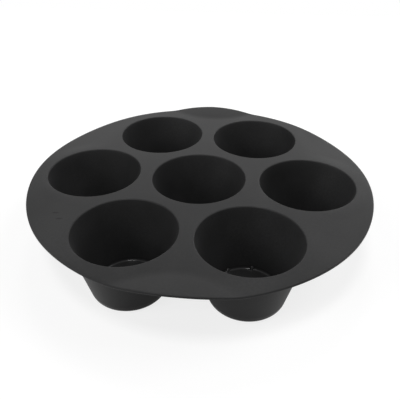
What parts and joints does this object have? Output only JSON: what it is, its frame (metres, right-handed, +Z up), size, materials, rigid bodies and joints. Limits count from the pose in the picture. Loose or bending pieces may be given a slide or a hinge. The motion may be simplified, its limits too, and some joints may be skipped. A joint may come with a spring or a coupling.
{
  "type": "silicone muffin mould",
  "caption": "Round flexible muffin mould: a flat deck with tapered cups hanging in a hexagon around a middle cup, and grip tabs bent up at front and back.",
  "frame": {"origin": "on the surface the mould stands on, straight below the centre of the middle cup", "axes": "+Z up along the middle cup's axis, out of the mouths; +X through the cup on the right; +Y through the middle of the back grip tab"},
  "size_m": [0.2072, 0.2084, 0.0429],
  "materials": {
    "silicone": "matte dark grey food-grade silicone, compression moulded, fine satin grain"
  },
  "bodies": {
    "root": {"deck": "silicone", "cup_centre": "silicone", "cup_right": "silicone", "cup_back_right": "silicone", "cup_back_left": "silicone", "cup_left": "silicone", "cup_front_left": "silicone", "cup_front_right": "silicone", "back_grip_tab": "silicone", "front_grip_tab": "silicone"}
  },
  "joints": []
}
